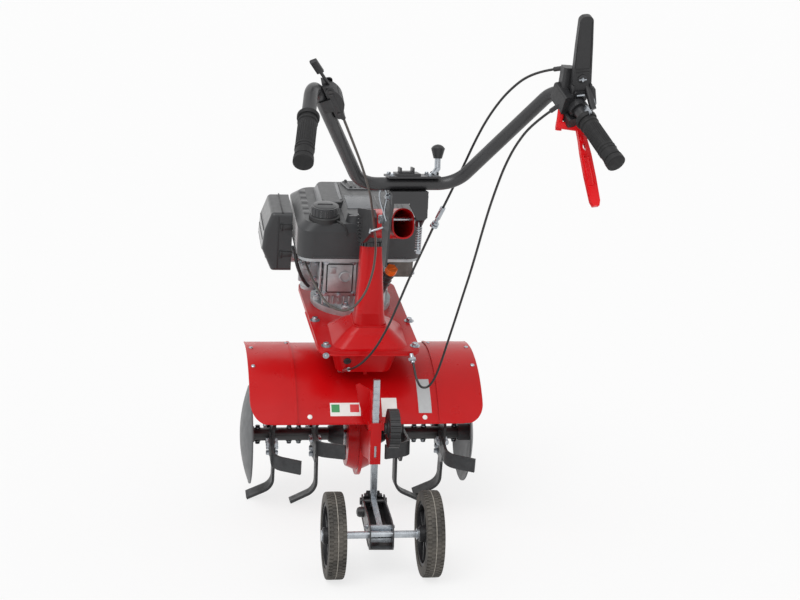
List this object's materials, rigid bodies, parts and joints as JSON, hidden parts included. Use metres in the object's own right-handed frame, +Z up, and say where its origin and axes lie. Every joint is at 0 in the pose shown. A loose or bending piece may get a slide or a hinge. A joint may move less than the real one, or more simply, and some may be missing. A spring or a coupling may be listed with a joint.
{
  "type": "garden tiller",
  "caption": "Petrol walk-behind garden tiller with a hoed rotor under a guard, a swivelling handlebar and small transport wheels on a sliding strut.",
  "frame": {"origin": "on the floor, under the middle of the bounding box as it stands parked", "axes": "+Z up, +Y forward away from the operator, +X to the operator's right along the rotor axle"},
  "size_m": [0.6396, 1.0602, 1.1475],
  "materials": {
    "red_paint": "gloss red powder coat",
    "red_plastic": "moulded red",
    "black_paint": "satin black powder coat",
    "zinc_steel": "bright zinc",
    "grey_steel": "grey painted steel",
    "cast_aluminium": "as cast",
    "heat_steel": "heat dulled sheet",
    "dark_plastic": "fine grained",
    "orange_plastic": "moulded orange",
    "black_plastic": "moulded black",
    "grip_rubber": "soft black",
    "tyre_rubber": "solid tyre",
    "cable_sheath": "black cable sheath"
  },
  "bodies": {
    "chassis": {"air_filter_box": "dark_plastic", "carburettor": "cast_aluminium", "clamp_knob": "black_plastic", "clutch_housing": "red_paint", "crankcase": "cast_aluminium", "cylinder": "cast_aluminium", "engine_flange": "cast_aluminium", "engine_shroud": "dark_plastic", "frame_ferrules": "zinc_steel", "frame_plate": "red_paint", "fuel_cap": "dark_plastic", "gearcase_left": "red_paint", "gearcase_right": "red_paint", "guard_middle": "red_paint", "guard_wing_left": "red_paint", "guard_wing_right": "red_paint", "muffler": "heat_steel", "muffler_guard": "heat_steel", "neck": "red_paint", "oil_cap": "orange_plastic", "oil_filler": "dark_plastic", "recoil_cover": "dark_plastic", "strut_holder": "red_paint", "swivel_seat": "black_paint"},
    "handlebar": {"swivel_knuckle": "black_paint", "handlebar_column": "red_paint", "handlebar_clevis": "black_paint", "clevis_bolt": "zinc_steel", "handlebar_left": "black_paint", "handlebar_right": "black_paint", "grips": "grip_rubber", "clamp_plate": "black_paint", "clamp_lever": "zinc_steel", "clamp_lever_knob": "black_plastic", "throttle_body": "black_plastic", "throttle_lever": "black_plastic", "lever_mount": "black_plastic", "clutch_lever": "black_plastic", "reverse_lever": "red_plastic", "handle_ferrules": "zinc_steel", "clutch_cable": "cable_sheath", "reverse_cable": "cable_sheath", "throttle_cable": "cable_sheath"},
    "strut": {"strut_bar": "zinc_steel", "wheel_arm": "black_paint", "arm_pins": "zinc_steel", "arm_link": "zinc_steel", "wheel_axle": "zinc_steel"},
    "wheel_left": {"tyre_left": "tyre_rubber", "rim_left": "black_plastic"},
    "wheel_right": {"tyre_right": "tyre_rubber", "rim_right": "black_plastic"},
    "rotor": {"rotor_shaft": "zinc_steel", "rotor_tube_left": "black_paint", "rotor_tube_right": "black_paint", "seal_bells": "black_paint", "tines_left": "grey_steel", "tines_right": "grey_steel", "side_discs": "grey_steel"}
  },
  "joints": [
    {"name": "rotor_spin", "type": "hinge", "parent": "chassis", "child": "rotor", "pos_m": [-0.05184, 0.33931, 0.162], "axis": [1, 0, 0], "continuous": true},
    {"name": "handlebar_swing", "type": "hinge", "parent": "chassis", "child": "handlebar", "pos_m": [-0.05184, 0.17431, 0.6373], "axis": [0, 0, 1], "range_deg": [-30, 20], "deforming": ["clutch_cable", "reverse_cable", "throttle_cable"]},
    {"name": "strut_slide", "type": "slide", "parent": "chassis", "child": "strut", "axis": [0, 0, 1], "range_m": [-0.08, 0.04]},
    {"name": "wheel_left_spin", "type": "hinge", "parent": "strut", "child": "wheel_left", "pos_m": [-0.16134, -0.17069, 0.0885], "axis": [1, 0, 0], "continuous": true},
    {"name": "wheel_right_spin", "type": "hinge", "parent": "strut", "child": "wheel_right", "pos_m": [0.03566, -0.17069, 0.0885], "axis": [1, 0, 0], "continuous": true}
  ]
}
